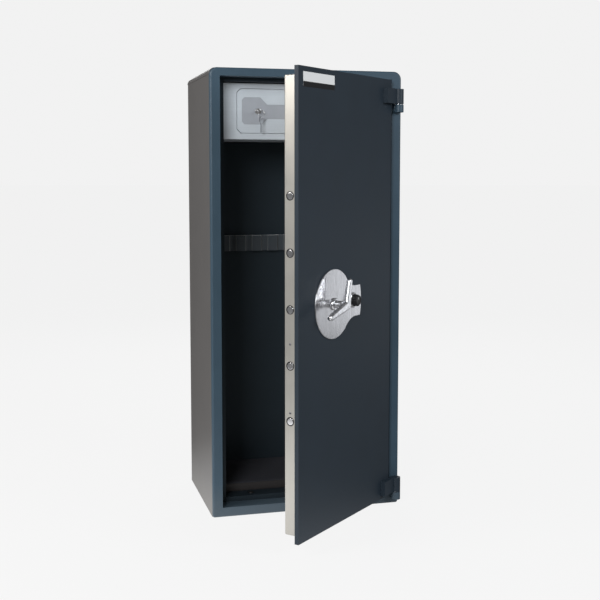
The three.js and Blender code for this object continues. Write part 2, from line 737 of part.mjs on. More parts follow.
// An upright bar with an arm that reaches over the handle spindle to the lock.
function boltCarrier() {
  const { s0, s1, n0, n1 } = CARRIER;
  const bar = doorBlock(s0, s1, n0, n1, BOLT_HEIGHTS[0] - 30, BOLT_HEIGHTS[4] + 30);
  const arm = doorBlock(ARM.s0, s0 + 1, ARM.n0, ARM.n1, ARM.z0, ARM.z1);
  const shanks = BOLT_HEIGHTS.map((z) => rod("x", 6.4, -s1 - 1, -s0 + 1, BOLT_N, z, 16));
  const pinSlot = doorBlock(PIN.s - 5.8, PIN.s + 5.8, n0 - 1, n1, ARM.z0 - 1, ARM.z0 + 17);
  const notches = [0, BOLT_THROW].map((shift) =>
    doorBlock(LOCK_S - shift - 8, LOCK_S - shift + 8, n0 - 1, n1, ARM.z0 - 1, ARM.z0 + 12),
  );
  return cut(join(bar, arm), ...shanks, pinSlot, ...notches);
}

// A round bolt with a thinner shank that passes through the carrier.
function lockingBolt(z) {
  const shoulder = CARRIER.s1 + GAP;
  const tip = CASING.s1 + 0.5;
  const profile = [
    [0, CARRIER.s0 - 6],
    [6, CARRIER.s0 - 6],
    [6, shoulder],
    [BOLT_RADIUS, shoulder],
    [BOLT_RADIUS, tip - 1.5],
    [BOLT_RADIUS - 1.5, tip],
    [0, tip],
  ];
  return turned(profile, 20).rotateZ(Math.PI / 2).translate(0, BOLT_N, z);
}

// An angle plate that guides the bolts just inside the free edge.
function boltGuide() {
  const low = BOLT_HEIGHTS[0] - 40;
  const high = BOLT_HEIGHTS[4] + 40;
  const web = doorBlock(576, 579, LEAF.n1 + GAP, 68, low, high);
  const foot = doorBlock(556, 577, LEAF.n1 + GAP, LEAF.n1 + GAP + 3, low, high);
  const holes = BOLT_HEIGHTS.map((z) => rod("x", BOLT_RADIUS + 0.7, -580, -575, BOLT_N, z, 16));
  return cut(join(web, foot), ...holes);
}

// Three fixed bolts on a bar, which lock the hinge side when the door is shut.
function fixedBolts() {
  const low = FIXED_BOLT_HEIGHTS[0] - 30;
  const high = FIXED_BOLT_HEIGHTS[2] + 30;
  const bar = doorBlock(36, 46, LEAF.n1 + GAP, 64, low, high);
  const bolts = FIXED_BOLT_HEIGHTS.map((z) => rod("x", FIXED_BOLT_RADIUS, -40, -9, BOLT_N, z, 20));
  return join(bar, ...bolts);
}

function hardPlate() {
  const n0 = LEAF.n1 + GAP;
  const plate = doorBlock(LOCK_S - 55, HUB_S + 55, n0, n0 + 4, MID_Z - 60, MID_Z + 60);
  return cut(plate, ...spindleHoles(n0 - 1, n0 + 5));
}

addPiece(door, "bolt_carrier", boltCarrier(), DARK_STEEL);
BOLT_HEIGHTS.forEach((z, k) => {
  addPiece(door, `locking_bolt_${k + 1}`, lockingBolt(z), BRIGHT_STEEL);
});
addPiece(door, "bolt_guide", boltGuide(), DARK_STEEL);
addPiece(door, "fixed_hinge_side_bolts", fixedBolts(), BRIGHT_STEEL);
addPiece(door, "hard_plate", hardPlate(), DARK_STEEL);

// ---------------------------------------------------------------- key lock
const LOCK_CASE = {
  s0: LOCK_S - 34,
  s1: LOCK_S + 34,
  n0: LEAF.n1 + 4 + 2 * GAP,
  n1: 60,
  z0: 692,
  z1: 764,
};

function lockCase() {
  const { s0, s1, n0, n1, z0, z1 } = LOCK_CASE;
  const box = doorBlock(s0, s1, n0, n1, z0, z1);
  const channel = doorBlock(LOCK_S - 7.4, LOCK_S + 7.4, 47.6, 56.4, 720, z1 + 1);
  return cut(box, channel, rod("y", 6.5, n0 - 1, 47.8, -LOCK_S, LOCK_Z, 20));
}

// The lock bolt lifts into a notch of the carrier arm.
function lockBolt() {
  return doorBlock(LOCK_S - 7, LOCK_S + 7, 48, 56, 724, LOCK_CASE.z1 + 0.5);
}

const PLATE = { n0: 12.2, n1: LEAF.n0 - GAP, radius: 110 };
const PLATE_FRONT = PLATE.n0;

// A fluted knob on a spindle that reaches the lock case.
function lockKnob() {
  const flutes = 8;
  const radius = 18;
  const outline = new THREE.Shape();
  const steps = flutes * 6;
  for (let k = 0; k < steps; k += 1) {
    const turn = (k / steps) * 2 * Math.PI;
    const r = radius + 0.9 * Math.cos(flutes * turn);
    const point = [r * Math.cos(turn), r * Math.sin(turn)];
    if (k) outline.lineTo(...point);
    else outline.moveTo(...point);
  }
  const grip = new THREE.ExtrudeGeometry(outline, {
    depth: 17,
    bevelEnabled: true,
    bevelSize: 1.5,
    bevelThickness: 1.5,
    bevelOffset: -1.5,
    bevelSegments: 1,
  });
  const back = PLATE_FRONT - 3;
  grip.rotateX(Math.PI / 2).translate(-LOCK_S, back - 1.5, LOCK_Z);
  return join(solid(grip), rod("y", 6, back - 2, 47.2, -LOCK_S, LOCK_Z));
}

function lockBezel() {
  const ring = turned([[20.5, -6], [23, -6], [24.5, -4], [24.5, 0], [20.5, 0], [20.5, -6]], 32);
  return solid(ring.translate(-LOCK_S, PLATE_FRONT - GAP, LOCK_Z));
}

addPiece(door, "lock_case", lockCase(), SATIN_STEEL);
addPiece(door, "lock_bolt", lockBolt(), BRIGHT_STEEL);
addPiece(door, "lock_knob", lockKnob(), BLACK_PLASTIC);
addPiece(door, "lock_bezel", lockBezel(), BRIGHT_STEEL);

// ---------------------------------------------------------------- escutcheon and handle
// A disc round the handle with a tab towards the hinges for the lock, blended by hollow curves.
function escutcheonOutline() {
  const { radius } = PLATE;
  const blend = radians(48);
  const end = -235;
  const shape = new THREE.Shape();
  const x = -HUB_S;
  const px = x + radius * Math.cos(blend);
  const pz = radius * Math.sin(blend);
  shape.moveTo(px, MID_Z + pz);
  shape.absarc(x, MID_Z, radius, blend, 2 * Math.PI - blend);
  shape.quadraticCurveTo(px + 28, MID_Z - 53, px + 62, MID_Z - 53);
  shape.lineTo(end - 3, MID_Z - 53);
  shape.quadraticCurveTo(end + 10, MID_Z - 2, end - 3, MID_Z + 48);
  shape.lineTo(px + 62, MID_Z + 48);
  shape.quadraticCurveTo(px + 28, MID_Z + 48, px, MID_Z + pz);
  return shape;
}

function escutcheon() {
  const plate = plateXZ(escutcheonOutline(), PLATE.n0, PLATE.n1, 24);
  return cut(
    plate,
    rod("y", 13.4, PLATE.n0 - 1, PLATE.n1 + 1, -HUB_S, MID_Z),
    rod("y", 6.5, PLATE.n0 - 1, PLATE.n1 + 1, -LOCK_S, LOCK_Z, 20),
  );
}

// A fixed collar that carries the handle's neck.
function handleCollar() {
  const collar = turned(
    [[8.5, -1], [14, -1], [14, -8], [16, -8], [19, -4], [19, 0], [13, 0], [13, 4], [8.5, 4], [8.5, -1]],
    24,
  );
  return solid(collar.translate(-HUB_S, PLATE.n0 - GAP, MID_Z));
}

// A flat arm from the hub, wide at the root and narrower at its round tip, before it is turned.
function armOutline(root, tip, length) {
  const lean = Math.asin((root - tip) / length);
  const shape = new THREE.Shape();
  shape.absarc(0, 0, root, Math.PI / 2 - lean, 1.5 * Math.PI + lean);
  shape.absarc(length, 0, tip, -Math.PI / 2 + lean, Math.PI / 2 - lean);
  return shape;
}

const HANDLE_N = -34; // the middle of the arms
const ARMS = [
  { length: 74, angle: 79, root: 13.5, tip: 9.5 },
  { length: 104, angle: 196, root: 14.5, tip: 9 },
];

function handle() {
  const shapes = ARMS.map(({ length, angle, root, tip }) => {
    const arm = new THREE.ExtrudeGeometry(armOutline(root - 4, tip - 4, length), {
      depth: 8,
      bevelEnabled: true,
      bevelSize: 4,
      bevelThickness: 4,
      bevelSegments: 3,
      curveSegments: 8,
    });
    arm.rotateZ(radians(angle)).rotateX(Math.PI / 2);
    return solid(arm.translate(-HUB_S, HANDLE_N + 4, MID_Z));
  });
  const neck = turned(
    [[0, HANDLE_N], [15, HANDLE_N], [15, HANDLE_N + 6], [12, HANDLE_N + 20], [12.5, 10], [0, 10]],
    32,
  );
  return join(...shapes, solid(neck.translate(-HUB_S, 0, MID_Z)));
}

function handleSpindle() {
  return rod("y", 8, 10 + GAP, 60, -HUB_S, MID_Z);
}

// The crank plate behind the carrier arm, with a pin that stands forward into the arm's slot.
function driveCrank() {
  const n0 = 60 + GAP;
  const disc = rod("y", 13, n0, n0 + 5, -HUB_S, MID_Z);
  const tip = rod("y", 9, n0, n0 + 5, -PIN.s, PIN.z);
  const web = rod("y", 10, n0, n0 + 5, -(HUB_S + PIN.s) / 2, (MID_Z + PIN.z) / 2);
  const pin = rod("y", 5, 47, n0 + 1, -PIN.s, PIN.z, 20);
  return join(disc, web, tip, pin);
}

addPiece(door, "escutcheon", escutcheon(), SATIN_STEEL);
addPiece(door, "handle_collar", handleCollar(), BRIGHT_STEEL);
addPiece(door, "handle", handle(), BRIGHT_STEEL);
addPiece(door, "handle_spindle", handleSpindle(), DARK_STEEL);
addPiece(door, "drive_crank", driveCrank(), DARK_STEEL);

// ---------------------------------------------------------------- label
const LABEL = { s0: 402, s1: 582, low: 1410, high: 1454 };
addPiece(
  door,
  "label_plate",
  doorBlock(LABEL.s0, LABEL.s1, LEAF.n0 - GAP - 0.6, LEAF.n0 - GAP, LABEL.low, LABEL.high),
  LABEL_WHITE,
);

export default safe;
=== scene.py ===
"""A gun safe with its door ajar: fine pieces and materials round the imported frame.

Metres, +Z up, -Y is the front. Every piece is made at its rest place in the row frame.
The door's pieces are drawn in door axes: x runs from the free edge to the hinges, y into the safe.
"""
import json
from math import asin, cos, pi, radians, sin

import bmesh
import bpy
from mathutils import Euler, Matrix, Vector


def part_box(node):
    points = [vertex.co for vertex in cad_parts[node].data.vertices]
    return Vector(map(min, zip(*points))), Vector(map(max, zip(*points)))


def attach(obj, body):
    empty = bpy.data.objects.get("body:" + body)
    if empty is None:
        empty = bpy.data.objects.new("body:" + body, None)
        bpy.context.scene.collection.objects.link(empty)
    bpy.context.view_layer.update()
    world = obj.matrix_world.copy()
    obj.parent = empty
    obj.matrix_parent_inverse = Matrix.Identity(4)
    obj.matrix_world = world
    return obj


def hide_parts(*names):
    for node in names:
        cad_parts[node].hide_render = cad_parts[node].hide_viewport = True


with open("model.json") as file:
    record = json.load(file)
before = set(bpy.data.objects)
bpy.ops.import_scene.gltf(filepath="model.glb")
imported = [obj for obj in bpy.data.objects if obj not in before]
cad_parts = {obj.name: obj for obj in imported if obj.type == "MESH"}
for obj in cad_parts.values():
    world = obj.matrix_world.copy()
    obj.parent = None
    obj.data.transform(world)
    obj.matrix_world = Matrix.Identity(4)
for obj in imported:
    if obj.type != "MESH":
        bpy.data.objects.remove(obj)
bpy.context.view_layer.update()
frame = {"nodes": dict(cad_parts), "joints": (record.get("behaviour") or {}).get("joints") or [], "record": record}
scene = bpy.context.scene

# ---------------------------------------------------------------- places taken from the frame
JOINTS = {joint["name"]: joint for joint in frame["joints"]}
BODY_OF = {}
for body_name, members in frame["record"]["behaviour"]["bodies"].items():
    for member in members:
        BODY_OF[member] = body_name
SLOT_OF = {part["node"]: part["material_slot"] for part in frame["record"]["subparts"]}
OPENINGS = {hole["name"]: hole["box_m"] for hole in frame["record"]["physics"]["openings"]}


def door_matrix():
    """Door axes: origin on the hinge axis, x towards the hinges, y into the safe."""
    into = Vector(JOINTS["handle_turn"]["axis"]).normalized()
    across = -Vector(JOINTS["boltwork_slide"]["axis"]).normalized()
    up = Vector((0, 0, 1))
    matrix = Matrix((across, into, up)).transposed().to_4x4()
    matrix.translation = Vector(JOINTS["door_hinge"]["pos_m"])
    return matrix


DOOR = door_matrix()
ROW = Matrix.Identity(4)


def local_box(node, axes):
    """Lowest and highest corner of a CAD node, measured in the given axes."""
    back = axes.inverted()
    points = [back @ v.co for v in frame["nodes"][node].data.vertices]
    low = Vector([min(p[k] for p in points) for k in range(3)])
    high = Vector([max(p[k] for p in points) for k in range(3)])
    return low, high


# ---------------------------------------------------------------- material nodes
MOST_NOISE = (0.3, 0.7)  # most values of a noise lie between these


class Surface:
    """A Principled material whose colour, roughness and bump come from object-space noise."""

    def __init__(self, name, metallic=0.0, specular=0.5):
        self.material = bpy.data.materials.new(name)
        self.material.use_nodes = True
        self.nodes = self.material.node_tree.nodes
        self.links = self.material.node_tree.links
        self.shader = self.nodes["Principled BSDF"]
        self.shader.inputs["Metallic"].default_value = metallic
        self.shader.inputs["Specular IOR Level"].default_value = specular
        self.place = self.nodes.new("ShaderNodeTexCoord").outputs["Object"]
        self.normal = None

    def set(self, socket, value):
        self.shader.inputs[socket].default_value = value

    def stretched(self, scale):
        mapping = self.nodes.new("ShaderNodeMapping")
        mapping.inputs["Scale"].default_value = scale
        self.links.new(self.place, mapping.inputs["Vector"])
        return mapping.outputs["Vector"]

    def noise(self, size, detail=3.0, stretch=(1, 1, 1), roughness=0.5):
        """Noise with features of about the given size in metres."""
        noise = self.nodes.new("ShaderNodeTexNoise")
        noise.inputs["Scale"].default_value = 1 / size
        noise.inputs["Detail"].default_value = detail
        noise.inputs["Roughness"].default_value = roughness
        self.links.new(self.stretched(stretch), noise.inputs["Vector"])
        return noise.outputs["Fac"]

    def height(self, low, high):
        """0 at height low, 1 at height high."""
        split = self.nodes.new("ShaderNodeSeparateXYZ")
        self.links.new(self.place, split.inputs["Vector"])
        return self.span(split.outputs["Z"], low, high)

    def span(self, value, low, high, to_low=0.0, to_high=1.0):
        node = self.nodes.new("ShaderNodeMapRange")
        node.inputs["From Min"].default_value = low
        node.inputs["From Max"].default_value = high
        node.inputs["To Min"].default_value = to_low
        node.inputs["To Max"].default_value = to_high
        self.links.new(value, node.inputs["Value"])
        return node.outputs["Result"]

    def blend(self, amount, first, second):
        """A colour between two: each is an (r, g, b) or a colour output."""
        node = self.nodes.new("ShaderNodeMix")
        node.data_type = "RGBA"
        self.links.new(amount, node.inputs["Factor"])
        for socket, colour in ((node.inputs[6], first), (node.inputs[7], second)):
            if isinstance(colour, tuple):
                socket.default_value = (*colour, 1)
            else:
                self.links.new(colour, socket)
        return node.outputs[2]

    def colour(self, output):
        self.links.new(output, self.shader.inputs["Base Color"])

    def roughness(self, value, low, high):
        self.links.new(self.span(value, *MOST_NOISE, low, high), self.shader.inputs["Roughness"])

    def bump(self, height, depth, strength):
        node = self.nodes.new("ShaderNodeBump")
        node.inputs["Strength"].default_value = strength
        node.inputs["Distance"].default_value = depth
        self.links.new(height, node.inputs["Height"])
        if self.normal is not None:
            self.links.new(self.normal, node.inputs["Normal"])
        self.normal = node.outputs["Normal"]
        self.links.new(self.normal, self.shader.inputs["Normal"])


def shade(colour, factor):
    return tuple(channel * factor for channel in colour)


def powder_coat(name, colour, rough, specular=0.35, dust=0.0):
    """Baked powder coat: fine orange peel, slight mottling, and a little dust near the floor."""
    surface = Surface(name, specular=specular)
    mottle = surface.noise(0.09, detail=4)
    grain = surface.noise(0.0016, detail=2)
    peel = surface.noise(0.004, detail=1)
    base = surface.blend(mottle, shade(colour, 0.88), shade(colour, 1.12))
    speckled = surface.blend(surface.span(grain, 0.66, 0.74, 0, 0.25), base, shade(colour, 1.9))
    low_dust = surface.span(surface.height(0.0, 0.12), 0, 1, dust, 0)
    surface.colour(surface.blend(low_dust, speckled, (0.32, 0.3, 0.27)))
    surface.roughness(mottle, rough - 0.01, rough + 0.02)
    surface.bump(grain, 0.00012, 0.35)
    surface.bump(peel, 0.00025, 0.3)
    return surface.material


def satin_sheet(name, colour, rough, metallic, run=(1, 1, 0.02)):
    """Plain rolled sheet: long faint streaks along the sheet and cloudy gloss."""
    surface = Surface(name, metallic=metallic)
    streak = surface.noise(0.002, detail=2, stretch=run)
    cloud = surface.noise(0.07, detail=4)
    base = surface.blend(cloud, shade(colour, 0.9), shade(colour, 1.06))
    surface.colour(surface.blend(surface.span(streak, *MOST_NOISE, 0, 0.3), base, shade(colour, 0.82)))
    surface.roughness(cloud, rough - 0.01, rough + 0.04)
    surface.bump(streak, 0.00002, 0.12)
    return surface.material


def brushed_steel(name, colour, rough, run):
    """Brushed steel: fine scratches along one way, with broad soft bands."""
    surface = Surface(name, metallic=1.0)
    scratch = surface.noise(0.0009, detail=3, stretch=run, roughness=0.7)
    band = surface.noise(0.02, detail=3, stretch=run)
    base = surface.blend(band, shade(colour, 0.8), shade(colour, 1.08))
    surface.colour(surface.blend(surface.span(scratch, 0.35, 0.75, 0, 0.35), base, shade(colour, 0.7)))
    surface.roughness(scratch, rough - 0.06, rough + 0.1)
    surface.bump(scratch, 0.00005, 0.5)
    return surface.material


def polished_steel(name, colour, rough):
    """Polished plating: faint smears and a few hairline marks."""
    surface = Surface(name, metallic=1.0)
    smear = surface.noise(0.012, detail=5)
    hairline = surface.noise(0.0015, detail=2, stretch=(1, 0.15, 0.15))
    surface.colour(surface.blend(smear, shade(colour, 0.93), shade(colour, 1.03)))
    surface.roughness(smear, rough * 0.7, rough * 1.6)
    surface.bump(hairline, 0.00002, 0.25)
    return surface.material


def moulded_plastic(name, colour, rough):
    """Moulded plastic with a fine leather-like grain."""
    surface = Surface(name, specular=0.4)
    grain = surface.noise(0.0007, detail=2)
    wear = surface.noise(0.01, detail=4)
    surface.colour(surface.blend(wear, shade(colour, 0.8), shade(colour, 1.35)))
    surface.roughness(wear, rough - 0.08, rough + 0.12)
    surface.bump(grain, 0.00008, 0.4)
    return surface.material


def soft_face(name, colour, fibre, depth, sheen=0.0):
    """Flocked foam, rubber or board: matt, with fibres or crumbs of the given size."""
    surface = Surface(name, specular=0.2)
    crumb = surface.noise(fibre, detail=4, roughness=0.65)
    patch = surface.noise(0.05, detail=3)
    base = surface.blend(patch, shade(colour, 0.85), shade(colour, 1.15))
    surface.colour(surface.blend(surface.span(crumb, *MOST_NOISE, 0, 0.6), base, shade(colour, 0.6)))
    surface.set("Sheen Weight", sheen)
    surface.roughness(patch, 0.8, 0.95)
    surface.bump(crumb, depth, 0.6)
    return surface.material


def printed_film(name, colour):
    """Printed label film: smooth, with faint print mottling."""
    surface = Surface(name)
    print_grain = surface.noise(0.0012, detail=2)
    surface.colour(surface.blend(print_grain, shade(colour, 0.94), colour))
    surface.roughness(print_grain, 0.28, 0.38)
    surface.bump(surface.noise(0.02, detail=1), 0.0001, 0.15)
    return surface.material


UPRIGHT = (1, 1, 0.012)
LEVEL = (0.02, 1, 1)
SLOT_MATERIALS = {
    "body_paint_blue": powder_coat("slate_blue_coat", (0.036, 0.066, 0.094), rough=0.42, dust=0.1),
    # painted light: this grey coat is the slate blue body paint again, made lighter and warmer to stand for the
    # left lamp's light on the sides and top, while the front frame keeps the blue
    "body_paint_grey": powder_coat("lit_copy_of_slate_blue_coat", (0.100, 0.095, 0.093), rough=0.38, dust=0.15),
    "door_paint": powder_coat("anthracite_coat", (0.016, 0.026, 0.038), rough=0.5),
    "liner_paint": powder_coat("liner_coat", (0.014, 0.022, 0.029), rough=0.62, specular=0.2),
    "casing_paint": satin_sheet("casing_sheet", (0.46, 0.445, 0.41), rough=0.295, metallic=0.55),
    "locker_paint": satin_sheet("locker_coat", (0.66, 0.71, 0.76), rough=0.4, metallic=0.15, run=LEVEL),
    "inlay_grey": soft_face("inlay_film", (0.46, 0.48, 0.52), fibre=0.0012, depth=0.00005),
    "rack_foam": soft_face("flocked_foam", (0.055, 0.065, 0.075), fibre=0.0018, depth=0.0004, sheen=0.6),
    "satin_steel": brushed_steel("brushed_steel_face", (0.66, 0.66, 0.68), rough=0.24, run=UPRIGHT),
    "bright_steel": polished_steel("polished_steel_face", (0.82, 0.82, 0.84), rough=0.14),
    "dark_steel": brushed_steel("oiled_steel_face", (0.2, 0.2, 0.21), rough=0.42, run=UPRIGHT),
    "black_plastic": moulded_plastic("black_knob_plastic", (0.008, 0.008, 0.009), rough=0.38),
    "rubber": soft_face("ribbed_rubber", (0.035, 0.035, 0.042), fibre=0.002, depth=0.0002),
    "fire_board": soft_face("fire_board_face", (0.6, 0.57, 0.5), fibre=0.003, depth=0.0004),
    "label_white": printed_film("label_film_white", (0.92, 0.92, 0.92)),
}
LABEL_BLACK = printed_film("label_film_black", (0.006, 0.006, 0.007))
RACK_BOARD = powder_coat("rack_board_coat", (0.028, 0.025, 0.025), rough=0.55, specular=0.25)
CAST_STEEL = polished_steel("cast_handle_steel", (0.78, 0.78, 0.80), rough=0.2)

# ---------------------------------------------------------------- mesh helpers
SHARP = radians(32)
SAME_PLACE = 0.0001


def put(name, bm, body, slot, nodes=(), axes=ROW, sharp=SHARP, material=None):
    """Makes a shown piece from a bmesh drawn in the given axes."""
    mesh = bpy.data.meshes.new(name)
    bmesh.ops.transform(bm, matrix=axes, verts=bm.verts)
    bmesh.ops.recalc_face_normals(bm, faces=bm.faces)
    bm.to_mesh(mesh)
    bm.free()
    mesh.polygons.foreach_set("use_smooth", [True] * len(mesh.polygons))
    mesh.set_sharp_from_angle(angle=sharp)
    mesh.materials.append(material or SLOT_MATERIALS[slot])
    piece = bpy.data.objects.new(name, mesh)
    scene.collection.objects.link(piece)
    weigh = piece.modifiers.new("even_shading", "WEIGHTED_NORMAL")
    weigh.keep_sharp = True
    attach(piece, body)
    if nodes:
        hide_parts(*nodes)
    return piece


def bevel(bm, width, segments, angle=SHARP, wanted=lambda edge: True):
    """Rounds the sharp edges that the test wants."""
    sharp = [
        edge
        for edge in bm.edges
        if len(edge.link_faces) == 2 and edge.calc_face_angle(0) > angle and wanted(edge)
    ]
    bmesh.ops.bevel(
        bm,
        geom=sharp,
        offset=width,
        offset_type="OFFSET",
        segments=segments,
        profile=0.5,
        affect="EDGES",
        clamp_overlap=True,
    )


def cad_copy(node):
    """The node's shape with its flat faces made whole."""
    bm = bmesh.new()
    bm.from_mesh(frame["nodes"][node].data)
    bmesh.ops.remove_doubles(bm, verts=bm.verts, dist=1e-6)
    bmesh.ops.dissolve_limit(bm, angle_limit=radians(0.4), verts=bm.verts, edges=bm.edges)
    return bm


def split_hollow_faces(bm):
    """Splits faces that wrap round a hole, so that each fills the right way."""
    bmesh.ops.connect_verts_concave(bm, faces=bm.faces)


def refine(node, width, segments=3, angle=SHARP, material=None):
    """Stands a rounded, smoothly shaded copy in for a CAD node."""
    bm = cad_copy(node)
    bevel(bm, width, segments, angle)
    split_hollow_faces(bm)
    put(f"{node}_fine", bm, BODY_OF[node], SLOT_OF[node], [node], material=material)


def loft(rings, closed_ends=True):
    """A skin over rings of equal length, each a list of points."""
    bm = bmesh.new()
    rows = [[bm.verts.new(point) for point in ring] for ring in rings]
    count = len(rows[0])
    for low, high in zip(rows, rows[1:]):
        for k in range(count):
            bm.faces.new((low[k], low[(k + 1) % count], high[(k + 1) % count], high[k]))
    if closed_ends:
        bm.faces.new(list(reversed(rows[0])))
        bm.faces.new(rows[-1])
    return bm


def lathe(profile, steps, axis="y"):
    """A turned piece: [radius, distance along the axis] points, closed where the radius is 0."""
    rings = []
    for radius, along in profile:
        ring = []
        for k in range(steps):
            turn = 2 * pi * k / steps
            u, v = radius * cos(turn), radius * sin(turn)
            point = {"x": (along, u, v), "y": (u, along, v), "z": (u, v, along)}[axis]
            ring.append(Vector(point))
        rings.append(ring)
    bm = loft(rings, closed_ends=False)
    bmesh.ops.remove_doubles(bm, verts=bm.verts, dist=1e-7)
    return bm


def hollow_lathe(profile, steps=64, axis="y"):
    """A turned ring: the profile closes on itself."""
    return lathe([*profile, profile[0]], steps, axis)


def pin_profile(radius, start, end, chamfer):
    """A plain pin with both ends chamfered."""
    return [
        (0, start),
        (radius - chamfer, start),
        (radius, start + chamfer),
        (radius, end - chamfer),
        (radius - chamfer, end),
        (0, end),
    ]


def arc(cx, cy, radius, start, end, steps):
    """Points on an arc, both ends included; angles in degrees."""
    turns = [radians(start + (end - start) * k / steps) for k in range(steps + 1)]
    return [(cx + radius * cos(t), cy + radius * sin(t)) for t in turns]


def moved(bm, x, y, z=0.0):
    bmesh.ops.translate(bm, verts=bm.verts, vec=(x, y, z))
    return bm


def inset(outline, distance):
    """The outline moved inwards; it runs counter-clockwise."""
    result = []
    for k, (x, y) in enumerate(outline):
        ax, ay = outline[k - 1]
        bx, by = outline[(k + 1) % len(outline)]
        along = Vector((bx - ax, by - ay)).normalized()
        result.append((x - along.y * distance, y + along.x * distance))
    return result


def plate(outline, levels):
    """A plate over an X-Z outline; levels are (inset, y) pairs from one face to the other."""
    rings = []
    for amount, y in levels:
        rings.append([Vector((x, y, z)) for x, z in inset(outline, amount)])
    return loft(rings)


def rounded_rectangle(x0, x1, z0, z1, radius):
    """An outline that runs counter-clockwise from the lower right corner."""
    steps = 6
    return [
        *arc(x1 - radius, z0 + radius, radius, -90, 0, steps),
        *arc(x1 - radius, z1 - radius, radius, 0, 90, steps),
        *arc(x0 + radius, z1 - radius, radius, 90, 180, steps),
        *arc(x0 + radius, z0 + radius, radius, 180, 270, steps),
    ]


# ---------------------------------------------------------------- cabinet
def cabinet():
    refine("side_wrap", 0.0012)
    refine("top_panel", 0.001, 2)
    refine("front_frame", 0.0012, 3, radians(40))
    refine("base_plate", 0.0008, 2)
    refine("inner_liner", 0.0015, 3)
    refine("fire_fill", 0.002, 2)
    refine("base_rack", 0.002, 3, material=RACK_BOARD)
    for side in ("left", "right"):
        refine(f"floor_plug_{side}", 0.0006, 2)


def butt_mat():
    """A rubber mat with ribs that run from side to side."""
    low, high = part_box("butt_mat")
    pitch = 0.009
    groove = 0.0012
    count = round((high.y - low.y) / pitch)
    step = (high.y - low.y) / count
    top = []
    for k in range(count):
        y = low.y + k * step
        top += [
            (y + 0.10 * step, high.z - groove),
            (y + 0.25 * step, high.z),
            (y + 0.75 * step, high.z),
            (y + 0.90 * step, high.z - groove),
        ]
    section = [(low.y, low.z), *top, (high.y, low.z)]
    rings = [[Vector((x, y, z)) for y, z in section] for x in (low.x, high.x)]
    put("butt_mat_ribbed", loft(rings), "cabinet", "rubber", ["butt_mat"])


def barrel_rest():
    """A foam bar whose grooves hold the barrels, with soft edges and a flocked face."""
    low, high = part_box("barrel_rest")
    radius = 0.013
    centres = sorted(
        (box[0][0] + box[1][0]) / 2 for name, box in OPENINGS.items() if name.startswith("barrel")
    )
    outline = [(low.x, low.y)]
    for x in centres:
        outline += arc(x, low.y, radius, 180, 0, 14)
    outline += [(high.x, low.y), (high.x, high.y), (low.x, high.y)]
    rings = [[Vector((x, y, z)) for x, y in outline] for z in (low.z, high.z)]
    bm = loft(rings)
    bevel(bm, 0.0025, 3, radians(40))
    put("barrel_rest_flocked", bm, "cabinet", "rack_foam", ["barrel_rest"])


# ---------------------------------------------------------------- hinges
def hinges():
    for place in ("upper", "lower"):
        refine(f"{place}_frame_knuckle", 0.0016, 3, radians(40))
        refine(f"{place}_door_hinge", 0.0022, 3, radians(40))
        refine(f"{place}_thrust_washer", 0.0003, 2, radians(40))
        low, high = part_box(f"{place}_hinge_pin")
        radius = (high.x - low.x) / 2
        bm = lathe(pin_profile(radius, low.z, high.z, 0.001), 48, "z")
        moved(bm, (low.x + high.x) / 2, (low.y + high.y) / 2)
        name = f"{place}_hinge_pin"
        put(f"{name}_turned", bm, "cabinet", "bright_steel", [name])


# ---------------------------------------------------------------- door shell
BOLT_COUNT = 5
COVER_SCREW_COUNT = 4
EDGE_SCREW_COUNT = 2


def door_shell():
    refine("door_leaf", 0.0022, 4)
    refine("door_fire_board", 0.0015, 2)
    refine("bolt_guide", 0.0005, 2, radians(40))
    refine("lock_case", 0.001, 2, radians(40))
    refine("fixed_hinge_side_bolts", 0.0012, 2, radians(40))
    refine("hard_plate", 0.0008, 2)


def cover():
    """The deep pan behind the leaf: its outer bends are round, its holes are crisp."""
    low, high = local_box("boltwork_cover", DOOR)
    bm = cad_copy("boltwork_cover")
    bmesh.ops.transform(bm, matrix=DOOR.inverted(), verts=bm.verts)

    planes = ((0, low.x), (0, high.x), (1, high.y), (2, low.z), (2, high.z))

    def lies_in(edge, k, place):
        return all(abs(vert.co[k] - place) < SAME_PLACE for vert in edge.verts)

    def on_outer_bend(edge):
        return sum(lies_in(edge, k, place) for k, place in planes) > 1

    bevel(bm, 0.004, 5, wanted=on_outer_bend)
    split_hollow_faces(bm)
    put("boltwork_cover_fine", bm, "door", "casing_paint", ["boltwork_cover"], DOOR, radians(25))


def bolt_gap_shade_rings():
    """A black ring round each bolt, pressed into the cover's free edge: painted shade that stands for the dark gap
    between each bolt and its hole.
    """
    face = local_box("boltwork_cover", DOOR)[0].x
    for k in range(BOLT_COUNT):
        low, high = local_box(f"locking_bolt_{k + 1}", DOOR)
        radius = (high.z - low.z) / 2
        profile = [
            (radius + 0.0002, face - 0.0002),
            (radius + 0.0005, face - 0.0006),
            (radius + 0.0024, face - 0.0006),
            (radius + 0.0028, face - 0.0002),
            (radius + 0.0028, face),
            (radius + 0.0009, face),
            (radius + 0.0009, face + 0.0018),
            (radius + 0.0002, face + 0.0018),
        ]
        bm = moved(hollow_lathe(profile, 56, "x"), 0, (low.y + high.y) / 2, (low.z + high.z) / 2)
        # black plastic ring as painted shade for the gap round the bolt
        put(f"bolt_gap_shade_ring_{k + 1}", bm, "door", "black_plastic", axes=DOOR)


